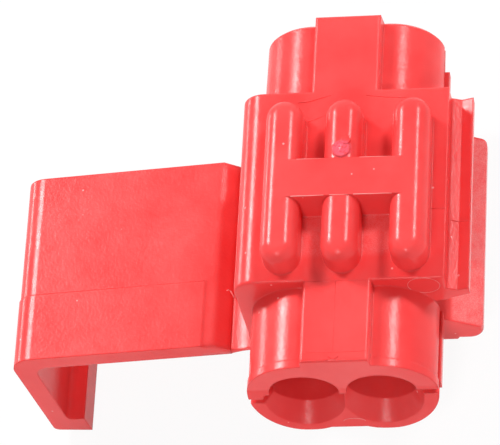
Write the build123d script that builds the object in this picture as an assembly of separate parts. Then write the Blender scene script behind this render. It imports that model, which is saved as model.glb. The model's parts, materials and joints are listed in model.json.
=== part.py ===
from build123d import *
import math
import os

# Insulation displacement connector: a one-piece moulded insulator with a hinged cover,
# and a folded metal contact that cuts through the insulation of two wires.
# Everything is drawn in the moulding frame (X across the wires, Y along them, Z towards
# the ribbed side, Z = 0 on the side where the contact goes in) and is then turned
# about Y into the pose in which the open part lies on a table.

# Wire channels and barrels
BORE_R = 1.95
CHANNEL_HALF_PITCH = 2.15
CHANNEL_Z = 3.7
BARREL_WALL = 1.15
BARREL_FAR_SHRINK = 0.15
BARREL_HALF_LENGTH = 10.9
BARREL_END_R = 0.18
LOWER_LIP_REACH = 0.75
PORT_FUNNEL_DEPTH = 1.25
PORT_FUNNEL_FLARE = 0.75
PORT_FAR_FLARE = 0.3
PORT_FAR_DEPTH = 0.8
PORT_LIP_STEP = 0.45
COLLAR_LENGTH = 0.5
COLLAR_HEIGHT = 0.06
VENT_HEIGHT = 0.35
VENT_LENGTH = 1.5

# Middle block
BLOCK_HALF_WIDTH = 5.9
BLOCK_HALF_LENGTH = 6.0
BLOCK_TOP = 7.55
BLOCK_CORNER_R = 1.3
BLOCK_EDGE_R = 0.14

# Flat spines over and under the pair of barrels
SPINE_HALF_WIDTH = 1.86
SPINE_FLARE = 0.3
SPINE_EDGE_R = 0.15
LOWER_SPINE_Z = 0.75
LOWER_SPINE_HALF_WIDTH = 2.2

# Grip ribs and the cross band that joins them
RIB_WIDTH = 2.1
RIB_HEIGHT = 2.0
RIB_CROWN_R = 0.85
RIB_NEAR_INSET = 0.45
RIB_FAR_INSET = 1.4
RIB_X = (-3.1, 0.25, 4.0)
RIB_ROOT = 0.5
BAND_FAR_Y = 0.55
BAND_NEAR_Y = -1.75
BAND_SLOPE = 0.25
GATE_R = 0.5
GATE_HEIGHT = 0.1
GATE_Y = 1.1

# Catch lip on the side away from the hinge
CATCH_REACH = 1.2
CATCH_TOP = 6.2
CATCH_EDGE = 0.65
CATCH_ROOT = 1.15
CATCH_HOLLOW = 0.22

# Lower flange and the mouth between it and the catch lip
FLANGE_REACH = 1.45
FLANGE_EDGE = 1.3
FLANGE_CORNER_R = 0.3
FLANGE_ROUND = 0.85
MOUTH_HEIGHT = 2.1
MOUTH_DEPTH = 0.9
MOUTH_RISE = 0.6
SLIT_HEIGHT = 0.4
LEDGE_REACH = 0.12
LEDGE_THICKNESS = 0.6

# Folded metal contact
SHEET = 0.7
CONTACT_HALF_WIDTH = 3.5
CONTACT_SPAN = 3.4
CONTACT_HEIGHT = 5.8
CONTACT_PROUD = 3.6
CONTACT_BEND_R = 0.35
WIRE_SLOT = 0.8
WIRE_SLOT_DEPTH = 3.7
WIRE_LEAD_IN = 1.0
WIRE_LEAD_IN_DEPTH = 0.9
TIP_CHAMFER = 0.2
CONTACT_CLEARANCE = 0.06

# Hinge and cover
PIVOT_INSET = 0.05
PIVOT_Z = -0.55
HINGE_RAIL_WIDTH = 1.3
HINGE_RAIL_Z = -0.8
WEB_THICKNESS = 0.4
COVER_TILT = 6.4
COVER_HALF_LENGTH = 5.95
COVER_THICKNESS = 1.15
COVER_INNER_OFFSET = 0.5
COVER_EDGE_U = 1.45
COVER_GROOVE_WIDTH = 0.8
COVER_GROOVE_DEPTH = 0.7
PAD_HEIGHT = 0.07
PAD_EDGE_U = 2.95
PAD_FAR_Y = -1.75
HOOK_INNER_U = 13.4
HOOK_INNER_HEIGHT = 6.95
HOOK_WALL = 1.1
HOOK_SPLAY = 1.2
HOOK_LIP_REACH = 0.85
HOOK_LIP_THICKNESS = 1.6
HOOK_LIP_SLOPE = 0.4
HOOK_OUTER_R = 1.3
HOOK_INNER_R = 0.9
HOOK_END_R = 0.4

BARREL_R = BORE_R + BARREL_WALL
PIVOT_X = PIVOT_INSET - BLOCK_HALF_WIDTH
CHANNEL_XS = (-CHANNEL_HALF_PITCH, CHANNEL_HALF_PITCH)
LEG_Y = (CONTACT_SPAN - SHEET) / 2
CUT = 30.0


def prism(points, half_length, taper=0.0):
    """Closed outline of (x, z) points, drawn out both ways along Y."""
    face = make_face(Polyline(*[(x, 0, z) for x, z in points], close=True))
    near = extrude(face, amount=half_length, dir=(0, -1, 0), taper=taper)
    far = extrude(face, amount=half_length, dir=(0, 1, 0), taper=taper)
    return near + far


def slab(x0, x1, y0, y1, z0, z1):
    """Axis-aligned block between two corners."""
    return Pos((x0 + x1) / 2, (y0 + y1) / 2, (z0 + z1) / 2) * Box(x1 - x0, y1 - y0, z1 - z0)


def along_y(x, z, radius_near, radius_far, y_near, y_far):
    """Round bar or cone along Y at a given place."""
    length = y_far - y_near
    place = Pos(x, (y_near + y_far) / 2, z) * Rot(-90, 0, 0)
    if radius_near == radius_far:
        return place * Cylinder(radius_near, length)
    return place * Cone(radius_near, radius_far, length)


def barrels():
    """Pair of round barrels with the flat spines that join them above and below."""
    half = BARREL_HALF_LENGTH
    reach = half + LOWER_LIP_REACH
    shell = None
    for x in CHANNEL_XS:
        small = BARREL_R - BARREL_FAR_SHRINK
        collar = BARREL_R + COLLAR_HEIGHT
        tube = along_y(x, CHANNEL_Z, BARREL_R, BARREL_R, -reach, 0)
        tube += along_y(x, CHANNEL_Z, BARREL_R, small, 0, half - BARREL_END_R)
        tube += along_y(x, CHANNEL_Z, small, small - BARREL_END_R, half - BARREL_END_R, half)
        tube += along_y(x, CHANNEL_Z, collar, collar, -reach, -half + COLLAR_LENGTH)
        shell = tube if shell is None else shell + tube
    shell += slab(-LOWER_SPINE_HALF_WIDTH, LOWER_SPINE_HALF_WIDTH, -reach, half - BARREL_END_R,
                  LOWER_SPINE_Z, CHANNEL_Z)
    upper = prism([(-SPINE_HALF_WIDTH - SPINE_FLARE, CHANNEL_Z), (-SPINE_HALF_WIDTH, BLOCK_TOP),
                   (SPINE_HALF_WIDTH, BLOCK_TOP), (SPINE_HALF_WIDTH + SPINE_FLARE, CHANNEL_Z)], half)
    upper = fillet(upper.edges().group_by(Axis.Z)[-1], SPINE_EDGE_R)
    return shell + upper


def scooped_end():
    """What is cut off the near end, so that the upper half of the ports stands back."""
    half = BARREL_HALF_LENGTH
    low = CHANNEL_Z - BARREL_R
    points = [(-half, BLOCK_TOP + 1), (-half, CHANNEL_Z + PORT_LIP_STEP),
              (-half - LOWER_LIP_REACH, low), (-half - LOWER_LIP_REACH - 1, low), (-half - 3, BLOCK_TOP + 1)]
    face = make_face(Polyline(*[(-CUT / 2, y, z) for y, z in points], close=True))
    return extrude(face, amount=CUT, dir=(1, 0, 0))


def block():
    """Middle block, with a rounded shoulder over the hinge and the rail that the hinge springs from."""
    body = slab(-BLOCK_HALF_WIDTH, BLOCK_HALF_WIDTH, -BLOCK_HALF_LENGTH, BLOCK_HALF_LENGTH, 0, BLOCK_TOP)
    shoulder = body.edges().filter_by(Axis.Y).group_by(Axis.Z)[-1].sort_by(Axis.X)[0]
    body = fillet(shoulder, BLOCK_CORNER_R)
    ends = body.faces().filter_by(Axis.Y)
    rims = [e for face in ends for e in face.edges() if e.center().Z > BLOCK_EDGE_R]
    body = fillet(rims, BLOCK_EDGE_R)
    rail = slab(-BLOCK_HALF_WIDTH, -BLOCK_HALF_WIDTH + HINGE_RAIL_WIDTH, -BLOCK_HALF_LENGTH,
                BLOCK_HALF_LENGTH, HINGE_RAIL_Z, HINGE_RAIL_WIDTH)
    return body + rail


def catch_lip():
    """Lip that the hook of the cover snaps over, hollowed along its upper side."""
    x0 = BLOCK_HALF_WIDTH
    x1 = x0 + CATCH_REACH
    xm = x0 + CATCH_REACH * 0.45
    points = [(x0 - 1, CATCH_TOP - CATCH_ROOT), (x0 - 1, CATCH_TOP), (x0, CATCH_TOP),
              (xm, CATCH_TOP - CATCH_HOLLOW), (x1, CATCH_TOP), (x1, CATCH_TOP - CATCH_EDGE),
              (x0, CATCH_TOP - CATCH_ROOT)]
    return prism(points, BLOCK_HALF_LENGTH)


def flange():
    """Lower flange whose upper side ramps down from the mouth to its outer edge."""
    x0 = BLOCK_HALF_WIDTH
    x1 = x0 + FLANGE_REACH
    ramp = CHANNEL_Z - MOUTH_HEIGHT / 2
    root = x0 - MOUTH_DEPTH
    points = [(root - 0.7, 0), (root - 0.7, ramp), (root, ramp), (x1, FLANGE_EDGE), (x1, 0)]
    body = prism(points, BLOCK_HALF_LENGTH)
    under = body.edges().filter_by(Axis.Y).group_by(Axis.Z)[0].group_by(Axis.X)[-1]
    body = fillet(under, FLANGE_ROUND)
    corners = body.edges().filter_by(Axis.Z).group_by(Axis.X)[-1]
    return fillet(corners, FLANGE_CORNER_R)


def mouth():
    """Side mouth that lets a wire in sideways, and the slit through the barrel wall."""
    low = CHANNEL_Z - MOUTH_HEIGHT / 2
    high = CHANNEL_Z + MOUTH_HEIGHT / 2
    throat = SLIT_HEIGHT / 2
    x0 = BLOCK_HALF_WIDTH - MOUTH_DEPTH
    x1 = BLOCK_HALF_WIDTH + FLANGE_REACH + 1
    bore_edge = CHANNEL_HALF_PITCH + BORE_R - 0.1
    drop = (low - FLANGE_EDGE) * (x1 - x0) / (FLANGE_REACH + MOUTH_DEPTH)
    funnel = prism([(bore_edge, CHANNEL_Z - throat), (x0, low), (x1, low - drop), (x1, high + MOUTH_RISE),
                    (x0, high), (bore_edge, CHANNEL_Z + throat)], BLOCK_HALF_LENGTH)
    slit = slab(CHANNEL_HALF_PITCH, x1, -CUT / 2, CUT / 2, CHANNEL_Z - throat, CHANNEL_Z + throat)
    return funnel + slit


def ledges():
    """Narrow ledge along the lower edge of the slit, on both barrels' free lengths."""
    x1 = CHANNEL_HALF_PITCH + BARREL_R + LEDGE_REACH
    x0 = x1 - BARREL_WALL / 2 - LEDGE_REACH
    top = CHANNEL_Z - SLIT_HEIGHT / 2
    near = slab(x0, x1, -BARREL_HALF_LENGTH + COLLAR_LENGTH, -BLOCK_HALF_LENGTH, top - LEDGE_THICKNESS, top)
    far = slab(x0, x1, BLOCK_HALF_LENGTH, BARREL_HALF_LENGTH - 1.6, top - LEDGE_THICKNESS, top)
    return near + far


def grip_rib(x):
    """Bull-nosed rib, standing on the block's upper face."""
    length = 2 * BLOCK_HALF_LENGTH - RIB_NEAR_INSET - RIB_FAR_INSET
    middle = (RIB_NEAR_INSET - RIB_FAR_INSET) / 2
    plan = Plane.XY.offset(BLOCK_TOP - RIB_ROOT) * SlotOverall(length, RIB_WIDTH, rotation=90)
    rib = extrude(plan, amount=RIB_ROOT + RIB_HEIGHT)
    crown = rib.edges().group_by(Axis.Z)[-1]
    return Pos(x, middle, 0) * fillet(crown, RIB_CROWN_R)


def cross_band():
    """Flat band across the middle, level with the ribs' crowns, with a sloping near side."""
    top = BLOCK_TOP + RIB_HEIGHT
    low = BLOCK_TOP - RIB_ROOT
    slope = BAND_SLOPE * (top - low) / RIB_HEIGHT
    points = [(BAND_FAR_Y, low), (BAND_FAR_Y, top), (BAND_NEAR_Y, top), (BAND_NEAR_Y - slope, low)]
    face = make_face(Polyline(*[(RIB_X[0], y, z) for y, z in points], close=True))
    return extrude(face, amount=RIB_X[-1] - RIB_X[0], dir=(1, 0, 0))


def gate_pip():
    """Torn-off stub of the gate, on the crown of the middle rib."""
    stub = Cylinder(GATE_R, GATE_HEIGHT * 2) + Pos(GATE_R / 2, GATE_R, 0) * Cylinder(GATE_R / 2, GATE_HEIGHT * 3)
    return Pos(RIB_X[1], GATE_Y, BLOCK_TOP + RIB_HEIGHT) * stub


def channels():
    """Two through bores for the wires, with a scoop under each near port and a flare at each far one."""
    cuts = []
    half = BARREL_HALF_LENGTH
    near = half + LOWER_LIP_REACH
    lower_half = slab(-CUT / 2, CUT / 2, -CUT / 2, 0, -1, CHANNEL_Z)
    for x in CHANNEL_XS:
        scoop = along_y(x, CHANNEL_Z, BORE_R + PORT_FUNNEL_FLARE, BORE_R, -near, -near + PORT_FUNNEL_DEPTH)
        cuts.append(along_y(x, CHANNEL_Z, BORE_R, BORE_R, -CUT / 2, CUT / 2))
        cuts.append(scoop & lower_half)
        cuts.append(along_y(x, CHANNEL_Z, BORE_R, BORE_R + PORT_FAR_FLARE, half - PORT_FAR_DEPTH, half))
    wall = CHANNEL_HALF_PITCH + BARREL_R
    cuts.append(slab(-wall - 1, -wall + BARREL_WALL + VENT_HEIGHT, -near, -near + VENT_LENGTH,
                     CHANNEL_Z - 2 * VENT_HEIGHT, CHANNEL_Z - VENT_HEIGHT))
    return cuts


def contact_seat():
    """Slots for the legs of the contact and the recess that takes its bridge."""
    gap = CONTACT_CLEARANCE
    half = CONTACT_HALF_WIDTH + gap
    cuts = [slab(-half, half, -CONTACT_SPAN / 2 - gap, CONTACT_SPAN / 2 + gap, -1, SHEET + gap)]
    for side in (-1, 1):
        y = side * LEG_Y
        cuts.append(slab(-half, half, y - SHEET / 2 - gap, y + SHEET / 2 + gap, -1, CONTACT_HEIGHT + gap))
    return cuts


def insulator_body():
    """Whole insulator without its cover."""
    solid = barrels() - scooped_end()
    solid = solid + block() + catch_lip() + flange() + ledges()
    for x in RIB_X:
        solid += grip_rib(x)
    solid += cross_band()
    solid += gate_pip()
    for cut in [mouth()] + channels() + contact_seat():
        solid -= cut
    return solid


def cover_frame(u, w):
    """Place of a cover point, u away from the hinge and w towards the hook, cover lying open."""
    turn = math.radians(COVER_TILT)
    x = PIVOT_X - u * math.cos(turn) + w * math.sin(turn)
    z = PIVOT_Z - u * math.sin(turn) - w * math.cos(turn)
    return x, z


def hook_points():
    """Corners of the hook's free end: outer corner, lip tip below and above, inner corner."""
    inner = COVER_INNER_OFFSET
    under = inner + HOOK_INNER_HEIGHT
    end = under + HOOK_LIP_THICKNESS
    lean = math.tan(math.radians(HOOK_SPLAY))
    tip = HOOK_INNER_U - HOOK_LIP_REACH
    outer = HOOK_INNER_U + HOOK_WALL + lean * end
    return [(outer, end - HOOK_LIP_SLOPE), (tip, end), (tip, under), (HOOK_INNER_U + lean * under, under)]


def cover_outline(grow, edge_u):
    """Corners of the cover's section, its outer side grown outwards, from edge_u to the hook's end."""
    inner = COVER_INNER_OFFSET
    back = inner - COVER_THICKNESS
    ends = hook_points()
    outer_end = (ends[0][0] + grow, ends[0][1])
    points = [(edge_u, back + COVER_GROOVE_DEPTH), (edge_u + COVER_GROOVE_WIDTH, back - grow),
              (HOOK_INNER_U + HOOK_WALL + grow, back - grow), outer_end]
    return points + ends[1:] + [(HOOK_INNER_U, inner), (edge_u, inner)]


def cover_section(grow, edge_u, near_y, far_y):
    """Length of folded cover section between two places along the wires."""
    corners = [cover_frame(u, w) for u, w in cover_outline(grow, edge_u)]
    face = make_face(Polyline(*[(x, near_y, z) for x, z in corners], close=True))
    solid = extrude(face, amount=far_y - near_y, dir=(0, 1, 0))
    radii = {2: HOOK_OUTER_R + grow, 3: HOOK_END_R, len(corners) - 3: HOOK_END_R, len(corners) - 2: HOOK_INNER_R}
    for index, radius in radii.items():
        x, z = corners[index]
        edges = [e for e in solid.edges().filter_by(Axis.Y)
                 if abs(e.center().X - x) < 1e-3 and abs(e.center().Z - z) < 1e-3]
        solid = fillet(edges, radius)
    return solid


def hinged_cover():
    """Cover plate with its snap hook, and the faint raised pad on the near half of its outside."""
    plate = cover_section(0, COVER_EDGE_U, -COVER_HALF_LENGTH, COVER_HALF_LENGTH)
    pad = cover_section(PAD_HEIGHT, PAD_EDGE_U - COVER_GROOVE_WIDTH, -COVER_HALF_LENGTH, PAD_FAR_Y)
    return plate + pad


def living_hinge():
    """Thin strap that joins the cover to the body and bends when the cover closes."""
    low_x, low_z = cover_frame(COVER_EDGE_U, COVER_INNER_OFFSET)
    top_x, top_z = cover_frame(COVER_EDGE_U, COVER_INNER_OFFSET - WEB_THICKNESS)
    wall = -BLOCK_HALF_WIDTH
    points = [(wall, HINGE_RAIL_Z), (low_x, low_z), (top_x, top_z), (wall, HINGE_RAIL_Z + WEB_THICKNESS)]
    return prism(points, COVER_HALF_LENGTH)


def u_contact():
    """Folded strip with two legs, each slotted for both wires, as it stands before crimping."""
    half = CONTACT_HALF_WIDTH
    span = CONTACT_SPAN / 2
    profile = [(-span, 0), (span, 0), (span, CONTACT_HEIGHT), (span - SHEET, CONTACT_HEIGHT),
               (span - SHEET, SHEET), (-span + SHEET, SHEET), (-span + SHEET, CONTACT_HEIGHT),
               (-span, CONTACT_HEIGHT)]
    face = make_face(Polyline(*[(-half, y, z) for y, z in profile], close=True))
    strip = extrude(face, amount=2 * half, dir=(1, 0, 0))
    bends = strip.edges().filter_by(Axis.X).group_by(Axis.Z)[0]
    strip = fillet(bends, CONTACT_BEND_R)
    tip = CONTACT_HEIGHT
    for x in CHANNEL_XS:
        slot = slab(x - WIRE_SLOT / 2, x + WIRE_SLOT / 2, -span - 1, span + 1, tip - WIRE_SLOT_DEPTH, tip + 1)
        root = Pos(x, 0, tip - WIRE_SLOT_DEPTH) * Rot(90, 0, 0) * Cylinder(WIRE_SLOT / 2, CONTACT_SPAN + 2)
        lead = make_face(Polyline((x - WIRE_LEAD_IN, 0, tip + 0.01), (x + WIRE_LEAD_IN, 0, tip + 0.01),
                                  (x + WIRE_SLOT / 2, 0, tip - WIRE_LEAD_IN_DEPTH),
                                  (x - WIRE_SLOT / 2, 0, tip - WIRE_LEAD_IN_DEPTH), close=True))
        strip = strip - slot - root - extrude(lead, amount=span + 1, dir=(0, 1, 0), both=True)
    corners = strip.edges().filter_by(Axis.Y).group_by(Axis.Z)[-1]
    outer = [e for e in corners if abs(abs(e.center().X) - half) < 1e-3]
    strip = chamfer(outer, TIP_CHAMFER)
    return Pos(0, 0, -CONTACT_PROUD) * strip


def rest_turn():
    """Angle, about Y, at which the open part lies on its hook and on the contact."""
    tip_u, tip_w = hook_points()[1]
    hook_x, hook_z = cover_frame(tip_u, tip_w)
    return math.degrees(math.atan2(-CONTACT_PROUD - hook_z, CONTACT_HALF_WIDTH - hook_x))


def main():
    nodes = {
        "insulator_body": insulator_body(),
        "hinged_cover": hinged_cover(),
        "living_hinge": living_hinge(),
        "u_contact": u_contact(),
    }
    turn = Rot(0, rest_turn(), 0)
    turned = {name: turn * shape for name, shape in nodes.items()}
    whole = Compound(children=[Compound(shape.wrapped) for shape in turned.values()]).bounding_box()
    lift = Pos(-(whole.min.X + whole.max.X) / 2, -(whole.min.Y + whole.max.Y) / 2, -whole.min.Z)
    os.makedirs("parts", exist_ok=True)
    for name, shape in turned.items():
        placed = lift * shape
        export_step(placed, f"parts/{name}.step")
    pivot = (lift * turn * Pos(PIVOT_X, 0, PIVOT_Z)).position
    for label, x in (("left", -CHANNEL_HALF_PITCH), ("right", CHANNEL_HALF_PITCH)):
        print("bore", label, (lift * turn * Pos(x, 0, CHANNEL_Z)).position)
    print("pivot", pivot, "rest turn", rest_turn(), "close", 180 - COVER_TILT)
    print("lift", lift.position, "box", whole.size)


main()
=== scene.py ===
"""Looks of a moulded splice connector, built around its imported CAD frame.

Lengths are in metres in Blender. Places on the part are written in millimetres in its
moulding frame: X across the wires, Y along them, Z towards the ribbed side.
"""

import json
import logging
import math
import random
from dataclasses import dataclass, replace
from enum import Enum

import bmesh
import bpy
from mathutils import Matrix, Vector


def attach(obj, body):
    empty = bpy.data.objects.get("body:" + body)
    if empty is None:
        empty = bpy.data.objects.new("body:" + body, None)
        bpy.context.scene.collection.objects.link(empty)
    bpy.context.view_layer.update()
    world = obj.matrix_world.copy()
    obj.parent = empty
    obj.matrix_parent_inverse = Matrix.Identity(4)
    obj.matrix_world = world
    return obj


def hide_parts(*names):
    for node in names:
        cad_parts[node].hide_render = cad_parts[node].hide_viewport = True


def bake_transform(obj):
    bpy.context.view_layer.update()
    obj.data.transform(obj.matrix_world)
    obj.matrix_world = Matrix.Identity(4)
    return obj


MM = 0.001
PHOTO_WIDTH_PX = 500
SENSOR_MM = 36.0
RING_ROUNDS = 48
RING_SIDES = 8
HAIR_SIDES = 6
GATE_SEED = 11
FLASH_SEED = 5
LOG = logging.getLogger("connector")

# Places on the part, in millimetres in the moulding frame.
GATE = (0.27, 1.10, 9.58)
GROOVE_X = (-8.9, -7.2)
BLOCK_FLOOR_Z = (7.45, 7.62)
NEAR_POCKETS_X = (-3.0, 3.9)
NEAR_POCKETS_Y = (-4.4, -1.6)
RAMP_X = (5.7, 8.2)
RAMP_Y = (-5.9, 5.9)
RAMP_Z = (0.5, 3.0)

# Noises of the plastic, as features to the millimetre and octaves of finer ones.
MELT_CLOUDS = (0.22, 3.0)
SHEEN = (1.5, 4.0)
FROST_GRAINS = (15.0, 3.0)
FROST_PATCHES = (1.7, 3.0)
TORN_GRAINS = (5.0, 4.0)
SINK_WAVES = (0.55, 2.0)
SKIN_GRAIN = (5.5, 3.0)
SPARK_GRAIN = (8.0, 4.0)

# Limits of a window that is open on one side.
LOWEST = -1.0
HIGHEST = 2.0

Socket = bpy.types.NodeSocket

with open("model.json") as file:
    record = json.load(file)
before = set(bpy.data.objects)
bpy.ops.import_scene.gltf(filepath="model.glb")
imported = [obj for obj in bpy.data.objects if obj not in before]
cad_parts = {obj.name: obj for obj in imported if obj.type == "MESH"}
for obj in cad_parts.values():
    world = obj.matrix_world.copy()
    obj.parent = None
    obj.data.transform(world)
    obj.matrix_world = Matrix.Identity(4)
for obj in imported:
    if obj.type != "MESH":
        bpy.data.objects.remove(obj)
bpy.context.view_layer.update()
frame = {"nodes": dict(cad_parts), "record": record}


class Body(Enum):
    """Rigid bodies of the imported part."""

    INSULATOR = "body"
    COVER = "cover"
    CONTACT = "contact"


class Slot(Enum):
    """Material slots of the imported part."""

    MOULDING = "moulding"
    METAL = "contact_metal"


@dataclass(frozen=True)
class MouldFrame:
    """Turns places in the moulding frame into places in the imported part's frame.

    Attributes:
        pivot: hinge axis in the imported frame, in metres, at half length of the block.
        turn: angle about Y between the two frames, in radians.
        pivot_x: hinge axis in the moulding frame, in millimetres.
        pivot_z: height of that axis there, in millimetres.
    """

    pivot: Vector
    turn: float
    pivot_x: float = -5.85
    pivot_z: float = -0.55

    @classmethod
    def from_joints(cls, joints: list[dict]) -> "MouldFrame":
        """Reads the hinge and the contact's slide.

        Args:
            joints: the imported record's joints.

        Returns:
            The frame that those joints define.
        """
        by_name = {joint["name"]: joint for joint in joints}
        axis = by_name["contact_press"]["axis"]
        return cls(Vector(by_name["cover_hinge"]["pos_m"]), math.atan2(axis[0], axis[2]))

    def matrix(self) -> Matrix:
        """Matrix from moulding millimetres to packed metres."""
        to_pivot = Matrix.Translation(Vector((-self.pivot_x, 0.0, -self.pivot_z)))
        return (
            Matrix.Translation(self.pivot)
            @ Matrix.Rotation(self.turn, 4, "Y")
            @ Matrix.Scale(MM, 4)
            @ to_pivot
        )

    def place(self, x: float, y: float, z: float) -> Vector:
        """Place in packed metres of one point given in moulding millimetres."""
        return self.matrix() @ Vector((x, y, z))


MOULD = MouldFrame.from_joints(frame["record"]["behaviour"]["joints"])


def new_mesh(name: str, verts: list[tuple], faces: list[tuple], smooth: bool = True) -> bpy.types.Object:
    """Makes a mesh piece from places in the moulding frame.

    Args:
        name: name of the piece.
        verts: places in millimetres.
        faces: faces as tuples of indices.
        smooth: whether the faces are shaded smooth.

    Returns:
        The linked object.
    """
    mesh = bpy.data.meshes.new(name)
    matrix = MOULD.matrix()
    mesh.from_pydata([matrix @ Vector(v) for v in verts], [], faces)
    work = bmesh.new()
    work.from_mesh(mesh)
    bmesh.ops.recalc_face_normals(work, faces=work.faces)
    work.to_mesh(mesh)
    work.free()
    mesh.polygons.foreach_set("use_smooth", [smooth] * len(mesh.polygons))
    piece = bpy.data.objects.new(name, mesh)
    bpy.context.collection.objects.link(piece)
    return piece


def torus_mesh(name: str, centre: tuple, normal: Vector, radius: float, tube: float) -> bpy.types.Object:
    """Makes a thin ring, half sunk where it is laid on a face.

    Args:
        name: name of the piece.
        centre: centre in the moulding frame, in millimetres.
        normal: direction that the ring faces there.
        radius: radius of the ring, in millimetres.
        tube: radius of its section, in millimetres.

    Returns:
        The linked object.
    """
    rounds, sides = RING_ROUNDS, RING_SIDES
    across = normal.orthogonal().normalized()
    along = normal.cross(across).normalized()
    verts, faces = [], []
    for i in range(rounds):
        turn = 2 * math.pi * i / rounds
        spoke = across * math.cos(turn) + along * math.sin(turn)
        for j in range(sides):
            roll = 2 * math.pi * j / sides
            point = Vector(centre) + spoke * (radius + tube * math.cos(roll)) + normal * tube * math.sin(roll)
            verts.append(tuple(point))
            faces.append((i * sides + j, i * sides + (j + 1) % sides,
                          ((i + 1) % rounds) * sides + (j + 1) % sides, ((i + 1) % rounds) * sides + j))
    return new_mesh(name, verts, faces)


def hair_mesh(name: str, path: list[tuple], radius: float, thin_end: float = 1.0) -> bpy.types.Object:
    """Makes a fine round thread along a path.

    Args:
        name: name of the piece.
        path: places in the moulding frame, in millimetres.
        radius: radius of the thread at its start, in millimetres.
        thin_end: radius at its end, as a share of the one at its start.

    Returns:
        The linked object.
    """
    sides = HAIR_SIDES
    points = [Vector(p) for p in path]
    verts, faces = [], []
    for i, point in enumerate(points):
        ahead = points[min(i + 1, len(points) - 1)] - points[max(i - 1, 0)]
        across = ahead.orthogonal().normalized()
        up = ahead.cross(across).normalized()
        size = radius * (1 + (thin_end - 1) * i / (len(points) - 1))
        for j in range(sides):
            roll = 2 * math.pi * j / sides
            verts.append(tuple(point + (across * math.cos(roll) + up * math.sin(roll)) * size))
            if i < len(points) - 1:
                a, b = i * sides + j, i * sides + (j + 1) % sides
                faces.append((a, b, b + sides, a + sides))
    faces.append(tuple(range(sides)))
    faces.append(tuple(range(len(verts) - sides, len(verts))))
    return new_mesh(name, verts, faces)


class NodeTree:
    """Small helper that builds one procedural material."""

    def __init__(self, name: str) -> None:
        """Starts an empty material.

        Args:
            name: name of the material.
        """
        self.material = bpy.data.materials.new(name)
        self.material.use_nodes = True
        self.tree = self.material.node_tree
        self.tree.nodes.clear()
        self.output = self.tree.nodes.new("ShaderNodeOutputMaterial")

    def add(self, kind: str, **settings: object) -> bpy.types.Node:
        """Adds a node and sets its properties and inputs.

        Args:
            kind: node type, without its Shader Node prefix.
            settings: properties by name, and inputs by name with spaces as underscores.

        Returns:
            The node.
        """
        node = self.tree.nodes.new("ShaderNode" + kind)
        for key, value in settings.items():
            if hasattr(node, key):
                setattr(node, key, value)
            else:
                node.inputs[key.replace("_", " ")].default_value = value
        return node

    def link(self, source: Socket, target: Socket) -> None:
        """Links the socket that gives a value to the one that takes it."""
        self.tree.links.new(source, target)

    def mould_place(self) -> Socket:
        """Place on the object in the moulding frame, in millimetres.

        Returns:
            The socket that gives the place.
        """
        place = self.add("TexCoord")
        turned = self.add("Mapping")
        inverse = MOULD.matrix().inverted()
        turned.inputs["Location"].default_value = inverse.to_translation()
        turned.inputs["Rotation"].default_value = (0.0, -MOULD.turn, 0.0)
        turned.inputs["Scale"].default_value = (1.0 / MM, 1.0 / MM, 1.0 / MM)
        self.link(place.outputs["Object"], turned.inputs["Vector"])
        return turned.outputs["Vector"]

    def noise(self, place: Socket, scale: float, detail: float) -> Socket:
        """Noise with a number of features to the millimetre.

        Args:
            place: place on the object, in millimetres.
            scale: features to the millimetre.
            detail: octaves of finer features.

        Returns:
            The noise, about 0.5 on average.
        """
        noise = self.add("TexNoise", Scale=scale, Detail=detail, Roughness=0.55)
        self.link(place, noise.inputs["Vector"])
        return noise.outputs["Fac"]

    def value(self, number: float) -> Socket:
        """Constant number.

        Args:
            number: the number.

        Returns:
            The socket that gives it.
        """
        node = self.add("Value")
        node.outputs[0].default_value = number
        return node.outputs[0]

    def fold(self, operation: str, sockets: tuple) -> Socket:
        """Joins several numbers with one operation.

        Args:
            operation: name of the math node's operation.
            sockets: the numbers.

        Returns:
            The socket that gives the result.
        """
        total = sockets[0]
        for socket in sockets[1:]:
            step = self.add("Math", operation=operation)
            self.link(total, step.inputs[0])
            self.link(socket, step.inputs[1])
            total = step.outputs["Value"]
        return total

    def times(self, *sockets: Socket) -> Socket:
        """Product of several numbers."""
        return self.fold("MULTIPLY", sockets)

    def sum(self, *sockets: Socket) -> Socket:
        """Sum of several numbers."""
        return self.fold("ADD", sockets)

    def most(self, *sockets: Socket) -> Socket:
        """Greatest of several numbers."""
        return self.fold("MAXIMUM", sockets)

    def window(self, socket: Socket, low: float, high: float, soft: float) -> Socket:
        """One between two limits and nothing outside them, with soft sides.

        Args:
            socket: the number that is tested.
            low: lower limit.
            high: upper limit.
            soft: half width of each side.

        Returns:
            The socket that gives the share.
        """
        sides = []
        for middle, ends in ((low, (0.0, 1.0)), (high, (1.0, 0.0))):
            side = self.add("MapRange", interpolation_type="SMOOTHSTEP")
            side.inputs["From Min"].default_value = middle - soft
            side.inputs["From Max"].default_value = middle + soft
            side.inputs["To Min"].default_value = ends[0]
            side.inputs["To Max"].default_value = ends[1]
            self.link(socket, side.inputs["Value"])
            sides.append(side.outputs["Result"])
        return self.times(*sides)


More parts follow.
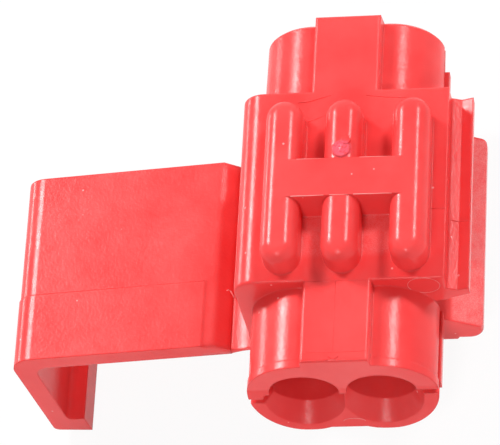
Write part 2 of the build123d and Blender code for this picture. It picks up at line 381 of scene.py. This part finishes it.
@dataclass(frozen=True)
class MouldedPlastic:
    """Glossy red polypropylene, a little cloudy and lit from within at thin edges.

    Attributes:
        name: name of the material.
        deep: colour where the melt is densest.
        pale: colour where flow marks lighten it.
        frost: colour of rough and dusty spots.
        scar: colour of the torn plastic at the gate.
        roughness: least and most roughness over the surface.
        frosting: share of frost everywhere in a rough zone, in its grains and in its patches.
        dusting: share of pale colour in a speck of dust.
        dust_scale: specks of dust to the millimetre.
        dust_size: size of a speck, as a share of the gap between them.
        scar_size: radius of the gate's scar, in millimetres.
        scarring: share of the scar's colour in it.
        depth: how far light wanders inside, in metres.
        soft_edge: radius that edges seem rounded to, in metres.
        groove_edge: what is added to it along the groove beside the hinge.
        grain: height of the fine texture, in metres.
        shine: strength of the surface reflection.
        index: refractive index.
        cloudy: share of the light that wanders inside.
        wander: how far each colour of light wanders, as a share of depth.
        spark_share: strength of the rough texture between the ribs.
    """

    name: str = "moulded_red"
    deep: tuple = (0.80, 0.044, 0.045, 1.0)
    pale: tuple = (0.86, 0.080, 0.079, 1.0)
    frost: tuple = (0.90, 0.34, 0.34, 1.0)
    scar: tuple = (0.88, 0.15, 0.24, 1.0)
    roughness: tuple = (0.19, 0.26)
    frosting: tuple = (0.14, 0.26, 0.16)
    dusting: float = 0.8
    dust_scale: float = 0.62
    dust_size: float = 0.038
    scar_size: float = 0.52
    scarring: float = 0.50
    depth: float = 0.0005
    soft_edge: float = 0.00013
    groove_edge: float = 0.00045
    grain: float = 0.000008
    shine: float = 0.17
    index: float = 1.49
    cloudy: float = 0.30
    wander: tuple = (1.0, 0.14, 0.12)
    spark_share: float = 0.5

    def build(self) -> bpy.types.Material:
        """Builds the material.

        Returns:
            The material.
        """
        nodes = NodeTree(self.name)
        place = nodes.mould_place()
        axes = nodes.add("SeparateXYZ")
        nodes.link(place, axes.inputs["Vector"])
        tint = self.base_tint(nodes, place)
        zone = self.rough_zone(nodes, axes)
        spots = self.spots(nodes, place, zone)
        colour = nodes.add("Mix", data_type="RGBA")
        nodes.link(spots, colour.inputs["Factor"])
        nodes.link(tint, colour.inputs["A"])
        colour.inputs["B"].default_value = self.frost
        scarred = nodes.add("Mix", data_type="RGBA")
        nodes.link(self.gate_scar(nodes, place), scarred.inputs["Factor"])
        nodes.link(colour.outputs["Result"], scarred.inputs["A"])
        scarred.inputs["B"].default_value = self.scar
        skin = nodes.add("BsdfPrincipled")
        skin.inputs["Subsurface Weight"].default_value = self.cloudy
        skin.inputs["Subsurface Radius"].default_value = self.wander
        skin.inputs["Subsurface Scale"].default_value = self.depth
        skin.inputs["IOR"].default_value = self.index
        skin.inputs["Specular IOR Level"].default_value = self.shine
        nodes.link(scarred.outputs["Result"], skin.inputs["Base Color"])
        nodes.link(self.gloss(nodes, place), skin.inputs["Roughness"])
        nodes.link(self.relief(nodes, place, axes, zone), skin.inputs["Normal"])
        nodes.link(skin.outputs["BSDF"], nodes.output.inputs["Surface"])
        return nodes.material

    def gloss(self, nodes: NodeTree, place: Socket) -> Socket:
        """Roughness, which varies slowly enough to break the highlights.

        Args:
            nodes: the material's node tree.
            place: place on the object, in millimetres.

        Returns:
            The socket that gives the roughness.
        """
        gloss = nodes.add("MapRange")
        gloss.inputs["From Min"].default_value = 0.36
        gloss.inputs["From Max"].default_value = 0.64
        gloss.inputs["To Min"].default_value = self.roughness[0]
        gloss.inputs["To Max"].default_value = self.roughness[1]
        nodes.link(nodes.noise(place, *SHEEN), gloss.inputs["Value"])
        return gloss.outputs["Result"]

    def base_tint(self, nodes: NodeTree, place: Socket) -> Socket:
        """Colour of the melt, in broad soft clouds.

        Args:
            nodes: the material's node tree.
            place: place on the object, in millimetres.

        Returns:
            The socket that gives the colour.
        """
        tint = nodes.add("ValToRGB")
        tint.color_ramp.elements[0].position = 0.30
        tint.color_ramp.elements[0].color = self.deep
        tint.color_ramp.elements[1].position = 0.75
        tint.color_ramp.elements[1].color = self.pale
        nodes.link(nodes.noise(place, *MELT_CLOUDS), tint.inputs["Fac"])
        return tint.outputs["Color"]

    def rough_zone(self, nodes: NodeTree, axes: bpy.types.Node) -> Socket:
        """Share of spark-eroded texture, in the near pockets between the ribs and on the flange's ramp.

        Args:
            nodes: the material's node tree.
            axes: node that gives the place's three coordinates.

        Returns:
            The socket that gives the share.
        """
        x, y, z = axes.outputs["X"], axes.outputs["Y"], axes.outputs["Z"]
        pockets = nodes.times(nodes.window(z, *BLOCK_FLOOR_Z, 0.03), nodes.window(x, *NEAR_POCKETS_X, 0.1),
                              nodes.window(y, *NEAR_POCKETS_Y, 0.3))
        ramp = nodes.times(nodes.window(x, *RAMP_X, 0.15), nodes.window(z, *RAMP_Z, 0.1),
                           nodes.window(y, *RAMP_Y, 0.06))
        return nodes.most(nodes.times(pockets, nodes.value(self.spark_share)), ramp)

    def spots(self, nodes: NodeTree, place: Socket, zone: Socket) -> Socket:
        """Share of pale colour: frost in the rough zones and sparse specks of dust elsewhere.

        Args:
            nodes: the material's node tree.
            place: place on the object, in millimetres.
            zone: share of rough texture.

        Returns:
            The socket that gives the share.
        """
        overall, in_grains, in_patches = (nodes.value(share) for share in self.frosting)
        grains = nodes.window(nodes.noise(place, *FROST_GRAINS), 0.52, HIGHEST, 0.10)
        patches = nodes.window(nodes.noise(place, *FROST_PATCHES), 0.46, HIGHEST, 0.14)
        frost = nodes.sum(overall, nodes.times(grains, in_grains), nodes.times(patches, in_patches))
        cells = nodes.add("TexVoronoi", Scale=self.dust_scale)
        nodes.link(place, cells.inputs["Vector"])
        specks = nodes.window(cells.outputs["Distance"], LOWEST, self.dust_size, 0.010)
        return nodes.most(nodes.times(frost, zone), nodes.times(specks, nodes.value(self.dusting)))

    def gate_scar(self, nodes: NodeTree, place: Socket) -> Socket:
        """Share of torn, whitened plastic where the gate was broken off.

        Args:
            nodes: the material's node tree.
            place: place on the object, in millimetres.

        Returns:
            The socket that gives the share.
        """
        away = nodes.add("VectorMath", operation="DISTANCE")
        nodes.link(place, away.inputs[0])
        away.inputs[1].default_value = GATE
        torn = nodes.window(nodes.noise(place, *TORN_GRAINS), 0.40, HIGHEST, 0.12)
        near = nodes.window(away.outputs["Value"], LOWEST, self.scar_size, 0.14)
        return nodes.times(near, torn, nodes.value(self.scarring))

    def relief(self, nodes: NodeTree, place: Socket, axes: bpy.types.Node, zone: Socket) -> Socket:
        """Normals of softened edges, slow sink waves and fine grain, coarser in the rough zones.

        Args:
            nodes: the material's node tree.
            place: place on the object, in millimetres.
            axes: node that gives the place's three coordinates.
            zone: share of rough texture.

        Returns:
            The socket that gives the normal.
        """
        groove = nodes.window(axes.outputs["X"], *GROOVE_X, 0.2)
        wide = nodes.times(groove, nodes.value(self.groove_edge))
        edge = nodes.add("Bevel", samples=6)
        nodes.link(nodes.sum(wide, nodes.value(self.soft_edge)), edge.inputs["Radius"])
        low = nodes.add("Bump", Strength=0.30, Distance=self.grain * 6)
        nodes.link(nodes.noise(place, *SINK_WAVES), low.inputs["Height"])
        nodes.link(edge.outputs["Normal"], low.inputs["Normal"])
        fine = nodes.add("Bump", Strength=0.8, Distance=self.grain * 1.6)
        nodes.link(nodes.noise(place, *SKIN_GRAIN), fine.inputs["Height"])
        nodes.link(low.outputs["Normal"], fine.inputs["Normal"])
        coarse = nodes.add("Bump", Distance=self.grain * 3)
        nodes.link(zone, coarse.inputs["Strength"])
        nodes.link(nodes.noise(place, *SPARK_GRAIN), coarse.inputs["Height"])
        nodes.link(fine.outputs["Normal"], coarse.inputs["Normal"])
        return coarse.outputs["Normal"]


# Finishes of marks too fine to have softened edges or grain of their own.
FINE_MARK = MouldedPlastic(name="moulded_red_fine", soft_edge=0.0, groove_edge=0.0, grain=0.0)
# Paler copy: its pale colours paint highlight lines along the band's edges, and also tint the ejector rings
# and the flash hair.
PALE_MARK_AND_HIGHLIGHT = replace(FINE_MARK, name="moulded_red_pale_and_highlight",
                    deep=(0.88, 0.20, 0.20, 1.0), pale=(0.92, 0.36, 0.36, 1.0))


@dataclass(frozen=True)
class TinPlate:
    """Bright tin over brass, with faint rolling lines and a slightly uneven shine.

    Attributes:
        name: name of the material.
        bright: colour of clean tin.
        warm: colour where the brass shows through.
        patch_scale: patches of colour to the metre.
        line_scale: rolling lines to the metre, along each axis.
        roughness: least and most roughness over the surface.
        line_depth: height of the rolling lines, in metres.
    """

    name: str = "tin_plate"
    bright: tuple = (0.80, 0.79, 0.76, 1.0)
    warm: tuple = (0.74, 0.68, 0.52, 1.0)
    patch_scale: float = 700.0
    line_scale: tuple = (400.0, 9000.0, 400.0)
    roughness: tuple = (0.18, 0.42)
    line_depth: float = 0.00001

    def build(self) -> bpy.types.Material:
        """Builds the material.

        Returns:
            The material.
        """
        nodes = NodeTree(self.name)
        place = nodes.add("TexCoord")
        patches = nodes.add("TexNoise", Scale=self.patch_scale, Detail=4.0, Roughness=0.6)
        nodes.link(place.outputs["Object"], patches.inputs["Vector"])
        tint = nodes.add("ValToRGB")
        tint.color_ramp.elements[0].position = 0.35
        tint.color_ramp.elements[0].color = self.bright
        tint.color_ramp.elements[1].position = 0.85
        tint.color_ramp.elements[1].color = self.warm
        nodes.link(patches.outputs["Fac"], tint.inputs["Fac"])
        rolling = nodes.add("Mapping")
        rolling.inputs["Scale"].default_value = self.line_scale
        nodes.link(place.outputs["Object"], rolling.inputs["Vector"])
        lines = nodes.add("TexNoise", Scale=1.0, Detail=3.0, Roughness=0.6)
        nodes.link(rolling.outputs["Vector"], lines.inputs["Vector"])
        shine = nodes.add("MapRange")
        shine.inputs["To Min"].default_value = self.roughness[0]
        shine.inputs["To Max"].default_value = self.roughness[1]
        nodes.link(lines.outputs["Fac"], shine.inputs["Value"])
        relief = nodes.add("Bump", Strength=0.2, Distance=self.line_depth)
        nodes.link(lines.outputs["Fac"], relief.inputs["Height"])
        skin = nodes.add("BsdfPrincipled", Metallic=1.0)
        nodes.link(tint.outputs["Color"], skin.inputs["Base Color"])
        nodes.link(shine.outputs["Result"], skin.inputs["Roughness"])
        nodes.link(relief.outputs["Normal"], skin.inputs["Normal"])
        nodes.link(skin.outputs["BSDF"], nodes.output.inputs["Surface"])
        return nodes.material


@dataclass(frozen=True)
class StudioPaper:
    """White paper floor that reads as plain white but keeps a soft shadow.

    Attributes:
        name: name of the material.
        white: colour of the paper.
        veil: share of plain white that the camera sees over the paper.
    """

    name: str = "studio_paper"
    white: tuple = (0.93, 0.93, 0.93, 1.0)
    veil: float = 0.93

    def build(self) -> bpy.types.Material:
        """Builds the material.

        Returns:
            The material.
        """
        nodes = NodeTree(self.name)
        rays = nodes.add("LightPath").outputs
        seen = nodes.most(rays["Is Camera Ray"], rays["Is Glossy Ray"], rays["Is Transmission Ray"])
        share = nodes.times(seen, nodes.value(self.veil))
        matt = nodes.add("BsdfDiffuse", Color=self.white)
        glow = nodes.add("Emission", Color=(1.0, 1.0, 1.0, 1.0), Strength=1.0)
        mix = nodes.add("MixShader")
        nodes.link(share, mix.inputs[0])
        nodes.link(matt.outputs["BSDF"], mix.inputs[1])
        nodes.link(glow.outputs["Emission"], mix.inputs[2])
        nodes.link(mix.outputs["Shader"], nodes.output.inputs["Surface"])
        return nodes.material


def dress(node: str, material: bpy.types.Material) -> None:
    """Gives a CAD node its finish.

    Args:
        node: name of the CAD node.
        material: finish of all its faces.
    """
    piece = frame["nodes"][node]
    piece.data.materials.clear()
    piece.data.materials.append(material)
    LOG.info("dressed %s with %s", node, material.name)


def finish_piece(piece: bpy.types.Object, material: bpy.types.Material, body: Body) -> None:
    """Dresses a new piece and hangs it on its body.

    Args:
        piece: the new piece.
        material: its finish.
        body: the body that carries it.
    """
    piece.data.materials.append(material)
    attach(piece, body.value)
    LOG.info("made %s on %s", piece.name, body.value)


@dataclass(frozen=True)
class Thread:
    """Fine raised line: a seam, a knit line or a hair of flash that the mould left, or a pale line painted
    along an edge as a highlight.

    Attributes:
        name: name of the piece.
        path: places along it, in millimetres.
        radius: radius at its start, in millimetres.
        thin_end: radius at its end, as a share of that.
    """

    name: str
    path: tuple
    radius: float
    thin_end: float = 1.0

    def build(self, plastic: bpy.types.Material, body: Body) -> None:
        """Makes the line on a body, in a finish of the moulding."""
        line = hair_mesh(self.name, list(self.path), self.radius, self.thin_end)
        finish_piece(line, plastic, body)


SHELL_THREADS = (
    Thread("knit_line_left",
           ((-2.63, 5.28, 7.55), (-1.9, 5.36, 7.56), (-1.3, 5.55, 7.56), (-0.77, 5.69, 7.55)), 0.035, 0.5),
    Thread("knit_line_right",
           ((1.21, 5.63, 7.55), (2.29, 5.46, 7.56), (3.1, 5.40, 7.56), (3.81, 5.39, 7.55)), 0.030, 0.6),
    Thread("knit_line_inner", ((-2.01, 4.03, 7.55), (-1.4, 4.25, 7.56), (-0.73, 4.62, 7.55)), 0.025, 0.4),
    Thread("seam_top", ((5.02, -1.72, 7.55), (5.86, -1.74, 7.55)), 0.018),
    Thread("seam_catch", ((6.0, -1.76, 6.16), (6.45, -1.77, 6.0), (7.08, -1.78, 6.18)), 0.018),
    Thread("seam_spine", ((-0.05, -6.05, 7.55), (-0.07, -8.2, 7.55), (-0.05, -10.3, 7.55)), 0.014, 0.5),
    Thread("seam_spine_root", ((-1.84, -6.02, 7.55), (1.84, -6.02, 7.55)), 0.014),
    Thread("spine_end_left", ((-1.84, -10.86, 7.54), (-0.9, -10.84, 7.56), (-0.28, -10.83, 7.56)), 0.035),
    Thread("spine_end_right", ((0.24, -10.83, 7.56), (0.9, -10.84, 7.56), (1.84, -10.86, 7.54)), 0.035),
    Thread("spine_pinch", ((-0.3, -10.60, 7.55), (-0.02, -10.80, 7.58), (0.28, -10.62, 7.55)), 0.035, 0.8),
    Thread("spine_step", ((-1.80, -10.35, 7.55), (0.2, -10.36, 7.55), (1.80, -10.33, 7.55)), 0.016),
)

# Pale lines along the band's near and far top edges: painted highlights.
PAINTED_HIGHLIGHT_LINES = (
    Thread("highlight_line_near_left", ((-2.45, -1.755, 9.53), (-1.6, -1.765, 9.55), (-0.62, -1.75, 9.54)),
           0.030, 0.8),
    Thread("highlight_line_near_middle", ((-0.30, -1.75, 9.55), (0.4, -1.755, 9.555), (0.72, -1.75, 9.55)),
           0.024, 0.6),
    Thread("highlight_line_near_right", ((1.02, -1.75, 9.54), (2.1, -1.765, 9.55), (3.15, -1.755, 9.53)),
           0.030, 0.7),
    Thread("highlight_line_far_left", ((-2.2, 0.55, 9.54), (-1.3, 0.545, 9.55), (-0.65, 0.55, 9.54)), 0.020, 0.5),
    Thread("highlight_line_far_right", ((1.3, 0.55, 9.54), (2.2, 0.545, 9.55), (3.0, 0.55, 9.54)), 0.020, 0.5),
)


@dataclass
class InsulatorBody:
    """The ribbed block with its two barrels, the marks that its mould left, and pale lines painted along the
    band's edges as highlights.

    Attributes:
        plastic: finish of the moulding.
        fine: its finish on marks too fine to have softened edges.
        pale_and_highlight: its pale finish, on the lines painted along the band's edges as highlights and on
            the ejector rings.
        shoulder_pin: middle of the shoulder's ejector ring, in millimetres.
        lip_pin: middle of the lower lip's ejector ring, in millimetres.
        lip_slope: direction that the lower lip's end faces.
        pin_radius: radius of the shoulder's ejector pin, in millimetres.
        lip_pin_radius: radius of the lower lip's ejector pin, in millimetres.
        ring: radius of the rings' section, in millimetres.
        scar_foot: height where the gate's scar starts, in millimetres.
        scar_top: height of its highest point, in millimetres.
        scar_fall: how much lower its rim lies, in millimetres.
        scar_reach: its radius across and along the wires, in millimetres.
        flash_start: near lower end of the ragged fin, in millimetres.
        flash_half: half of the fin's thickness, in millimetres.
        flash_step: length of one of the fin's teeth, in millimetres.
        flash_teeth: number of corners along its top.
    """

    plastic: bpy.types.Material
    fine: bpy.types.Material
    pale_and_highlight: bpy.types.Material
    shoulder_pin: tuple = (4.68, -6.0, 6.68)
    lip_pin: tuple = (0.34, -11.515, 1.26)
    lip_slope: tuple = (0.0, -3.5, -0.75)
    pin_radius: float = 0.88
    lip_pin_radius: float = 0.60
    ring: float = 0.013
    scar_foot: float = 9.40
    scar_top: float = 9.70
    scar_fall: float = 0.19
    scar_reach: tuple = (0.50, 0.60)
    flash_start: tuple = (5.12, -10.85, 3.42)
    flash_half: float = 0.03
    flash_step: float = 0.16
    flash_teeth: int = 11

    def build(self) -> None:
        """Dresses the block, adds what the mould left on it, and adds the painted highlight lines along the
        band's edges.
        """
        dress("insulator_body", self.plastic)
        self.ejector_marks()
        for thread in SHELL_THREADS:
            thread.build(self.fine, Body.INSULATOR)
        for thread in PAINTED_HIGHLIGHT_LINES:
            thread.build(self.pale_and_highlight, Body.INSULATOR)
        self.gate_scar()
        self.slit_flash()

    def ejector_marks(self) -> None:
        """Adds the witness rings of the ejector pins."""
        near = Vector((0.0, -1.0, 0.0))
        sloped = Vector(self.lip_slope).normalized()
        marks = {"ejector_ring_shoulder": (self.shoulder_pin, near, self.pin_radius),
                 "ejector_ring_lip": (self.lip_pin, sloped, self.lip_pin_radius)}
        for name, (centre, facing, radius) in marks.items():
            ring = torus_mesh(name, centre, facing, radius, self.ring)
            finish_piece(ring, self.pale_and_highlight, Body.INSULATOR)

    def gate_scar(self) -> None:
        """Adds the torn lump where the gate was, higher and rougher than the stub under it."""
        draw = random.Random(GATE_SEED)
        around, rows = 14, 4
        verts: list[tuple] = [(GATE[0], GATE[1], self.scar_top)]
        faces: list[tuple] = []
        for i in range(1, rows + 1):
            for j in range(around):
                turn = 2 * math.pi * j / around
                reach = i / rows
                long = 1.0 + 0.35 * max(0.0, math.sin(turn)) ** 3
                x = GATE[0] + self.scar_reach[0] * reach * math.cos(turn) * draw.uniform(0.92, 1.08)
                y = GATE[1] + self.scar_reach[1] * long * reach * math.sin(turn) * draw.uniform(0.95, 1.05)
                z = self.scar_top - self.scar_fall * reach ** 2 + draw.uniform(-0.04, 0.04) * (1 - reach)
                verts.append((x, y, z))
                a = 1 + (i - 1) * around + j
                b = 1 + (i - 1) * around + (j + 1) % around
                if i == 1:
                    faces.append((0, a, b))
                else:
                    faces.append((a - around, a, b, b - around))
        under = len(verts)
        verts.append((GATE[0], GATE[1], self.scar_foot))
        last = 1 + (rows - 1) * around
        for j in range(around):
            faces.append((last + (j + 1) % around, last + j, under))
        scar = new_mesh("gate_scar", verts, faces, smooth=False)
        finish_piece(scar, self.fine, Body.INSULATOR)

    def slit_flash(self) -> None:
        """Adds the ragged fin of flash beside the near end of the slit."""
        draw = random.Random(FLASH_SEED)
        x, start, low = self.flash_start
        count = self.flash_teeth
        verts: list[tuple] = []
        faces: list[tuple] = []
        for i in range(count):
            y = start + self.flash_step * i
            rise = draw.uniform(0.03, 0.20) * (1 - i / count) + 0.02
            for side in (-self.flash_half, self.flash_half):
                verts.append((x + side, y, low))
                verts.append((x + side - 0.01, y, low + rise + 0.18))
            if i:
                a = 4 * (i - 1)
                faces.append((a, a + 4, a + 5, a + 1))
                faces.append((a + 2, a + 3, a + 7, a + 6))
                faces.append((a + 1, a + 5, a + 7, a + 3))
                faces.append((a, a + 2, a + 6, a + 4))
        faces.append((0, 1, 3, 2))
        end = 4 * (count - 1)
        faces.append((end, end + 2, end + 3, end + 1))
        fin = new_mesh("slit_flash", verts, faces, smooth=False)
        finish_piece(fin, self.fine, Body.INSULATOR)


@dataclass
class HingedCover:
    """Cover plate with its hook, lying open.

    Attributes:
        plastic: finish of the moulding.
    """

    plastic: bpy.types.Material

    def build(self) -> None:
        """Dresses the cover."""
        dress("hinged_cover", self.plastic)


@dataclass
class LivingHinge:
    """Thin strap that bends between the block and the cover.

    Attributes:
        plastic: finish of the moulding.
        pale_and_highlight: pale finish of the painted highlight lines, used here on a hair of flash.
        half_length: half of its length along the wires, in millimetres.
        body_edge: where it leaves the block, as (x, lower z, upper z).
        cover_edge: where it meets the cover, as (x, lower z, upper z).
        steps: divisions across the bend.
        rows: divisions along it.
        waist: how much thinner each side is at the middle, in millimetres.
        margin: how far inside each edge the bend starts, in millimetres.
        hair: places along the hair of flash on the cover's root, in millimetres.
    """

    plastic: bpy.types.Material
    pale_and_highlight: bpy.types.Material
    half_length: float = 5.93
    body_edge: tuple = (-5.85, -0.79, -0.40)
    cover_edge: tuple = (-7.29, -1.21, -0.81)
    steps: int = 24
    rows: int = 12
    waist: float = 0.07
    margin: float = 0.1
    hair: tuple = (
        (-7.31, -2.40, -0.83), (-7.22, -2.62, -0.62), (-7.16, -2.78, -0.30),
        (-7.31, -2.54, -0.06), (-7.45, -2.46, -0.04), (-7.56, -2.48, -0.10),
    )

    def build(self) -> None:
        """Builds the strap."""
        verts: list[tuple] = []
        faces: list[tuple] = []
        rows = self.rows
        for i in range(self.steps + 1):
            share = i / self.steps
            x = self.body_edge[0] + (self.cover_edge[0] - self.body_edge[0]) * share
            low = self.body_edge[1] + (self.cover_edge[1] - self.body_edge[1]) * share
            high = self.body_edge[2] + (self.cover_edge[2] - self.body_edge[2]) * share
            waist = self.waist * math.sin(math.pi * share)
            for j in range(rows + 1):
                y = -self.half_length + 2 * self.half_length * j / rows
                verts.append((x, y, low + waist))
                verts.append((x, y, high - waist))
        stride = 2 * (rows + 1)
        for i in range(self.steps):
            for j in range(rows):
                a = i * stride + 2 * j
                b = a + stride
                faces.append((a, a + 2, b + 2, b))
                faces.append((a + 1, b + 1, b + 3, a + 3))
            for edge in (0, 2 * rows):
                a = i * stride + edge
                faces.append((a, a + stride, a + stride + 1, a + 1))
        for i in (0, self.steps):
            for j in range(rows):
                a = i * stride + 2 * j
                faces.append((a, a + 1, a + 3, a + 2))
        strap = new_mesh("hinge_strap", verts, faces, smooth=False)
        strap.data.materials.append(self.plastic)
        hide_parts("living_hinge")
        tuple(MOULD.place(self.body_edge[0] - self.margin, 0.0, self.body_edge[1]))
        tuple(MOULD.place(self.cover_edge[0] + self.margin, 0.0, self.cover_edge[1]))
        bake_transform(strap)
        LOG.info("made hinge_strap with %d steps", self.steps)
        Thread("flash_hair", self.hair, 0.050, 0.5).build(self.pale_and_highlight, Body.COVER)


@dataclass
class Contact:
    """Folded metal contact, standing proud of the side that the camera doesn't see.

    Attributes:
        metal: finish of the plated sheet.
    """

    metal: bpy.types.Material

    def build(self) -> None:
        """Dresses the contact."""
        dress("u_contact", self.metal)


@dataclass(frozen=True)
class Lamp:
    """Square lamp aimed at the middle of the part.

    Attributes:
        name: name of the lamp.
        place: its place, in metres.
        size: length of its side, in metres.
        power: its power, in watts.
    """

    name: str
    place: tuple
    size: float
    power: float

    def build(self, aim: Vector) -> None:
        """Creates the lamp.

        Args:
            aim: the point that it faces.
        """
        lamp = bpy.data.lights.new(self.name, "AREA")
        lamp.shape = "SQUARE"
        lamp.size = self.size
        lamp.energy = self.power
        holder = bpy.data.objects.new(self.name, lamp)
        holder.location = self.place
        holder.rotation_euler = (aim - Vector(self.place)).to_track_quat("-Z", "Y").to_euler()
        bpy.context.collection.objects.link(holder)


LAMPS = (
    Lamp("key", (-0.176, 0.225, 0.410), 0.10, 2.0),
    Lamp("right", (0.326, 0.225, 0.306), 0.08, 1.3),
    Lamp("left", (-0.425, 0.225, 0.134), 0.08, 0.35),
    Lamp("front", (0.08, -0.33, 0.33), 0.10, 0.85),
)


@dataclass
class Studio:
    """Camera, floor, lamps and world.

    Attributes:
        paper: finish of the floor.
        location: camera place, in metres.
        turn: camera rotation, as XYZ angles in radians.
        focal_px: focal length in pixels of the photograph.
        floor_half: half of the floor's side, in metres.
        floor_drop: how far the floor lies under the part, in metres.
        aim_height: height of the point that the lamps face, in metres.
        sky: strength of the world as a light.
    """

    paper: bpy.types.Material
    location: tuple = (0.0966037, -0.0992224, 0.1721895)
    turn: tuple = (0.5150388, 0.4989777, 0.0562684)
    focal_px: float = 3761.4
    floor_half: float = 1.5
    floor_drop: float = 0.00002
    aim_height: float = 0.005
    sky: float = 0.18

    def build(self) -> None:
        """Builds all of it."""
        self.camera()
        self.floor()
        for lamp in LAMPS:
            lamp.build(Vector((0.0, 0.0, self.aim_height)))
        self.world()
        bpy.context.scene.view_settings.view_transform = "Standard"

    def camera(self) -> None:
        """Creates the camera at the photograph's viewpoint."""
        data = bpy.data.cameras.new("camera")
        data.sensor_width = SENSOR_MM
        data.sensor_fit = "HORIZONTAL"
        data.lens = self.focal_px * SENSOR_MM / PHOTO_WIDTH_PX
        data.clip_start = 0.001
        data.clip_end = 10.0
        camera = bpy.data.objects.new("camera", data)
        camera.location = self.location
        camera.rotation_euler = self.turn
        bpy.context.collection.objects.link(camera)
        bpy.context.scene.camera = camera

    def floor(self) -> None:
        """Creates the floor."""
        half = self.floor_half
        corners = [(-half, -half, 0), (half, -half, 0), (half, half, 0), (-half, half, 0)]
        mesh = bpy.data.meshes.new("floor")
        mesh.from_pydata(corners, [], [(0, 1, 2, 3)])
        mesh.materials.append(self.paper)
        floor = bpy.data.objects.new("floor", mesh)
        floor.location.z = -self.floor_drop
        bpy.context.collection.objects.link(floor)

    def world(self) -> None:
        """Creates a plain world: white where it is seen, softer where it lights."""
        world = bpy.data.worlds.new("world")
        world.use_nodes = True
        tree = world.node_tree
        tree.nodes.clear()
        rays = tree.nodes.new("ShaderNodeLightPath")
        seen = tree.nodes.new("ShaderNodeMath")
        seen.operation = "MAXIMUM"
        tree.links.new(rays.outputs["Is Camera Ray"], seen.inputs[0])
        tree.links.new(rays.outputs["Is Transmission Ray"], seen.inputs[1])
        also = tree.nodes.new("ShaderNodeMath")
        also.operation = "MAXIMUM"
        tree.links.new(seen.outputs["Value"], also.inputs[0])
        tree.links.new(rays.outputs["Is Glossy Ray"], also.inputs[1])
        plain = tree.nodes.new("ShaderNodeBackground")
        plain.inputs["Strength"].default_value = 1.0
        plain.inputs["Color"].default_value = (1, 1, 1, 1)
        soft = tree.nodes.new("ShaderNodeBackground")
        soft.inputs["Strength"].default_value = self.sky
        soft.inputs["Color"].default_value = (1, 1, 1, 1)
        mix = tree.nodes.new("ShaderNodeMixShader")
        tree.links.new(also.outputs["Value"], mix.inputs[0])
        tree.links.new(soft.outputs["Background"], mix.inputs[1])
        tree.links.new(plain.outputs["Background"], mix.inputs[2])
        output = tree.nodes.new("ShaderNodeOutputWorld")
        tree.links.new(mix.outputs["Shader"], output.inputs["Surface"])
        bpy.context.scene.world = world


def main() -> None:
    """Builds every part of the scene in order."""
    logging.basicConfig(level=logging.INFO)
    plastic = MouldedPlastic().build()
    fine = FINE_MARK.build()
    # Pale finish: painted highlight lines along the band's edges, and the ejector rings and flash hair.
    pale_and_highlight = PALE_MARK_AND_HIGHLIGHT.build()
    InsulatorBody(plastic, fine, pale_and_highlight).build()
    HingedCover(plastic).build()
    LivingHinge(plastic, pale_and_highlight).build()
    Contact(TinPlate().build()).build()
    Studio(StudioPaper().build()).build()


if __name__ == "__main__":
    main()
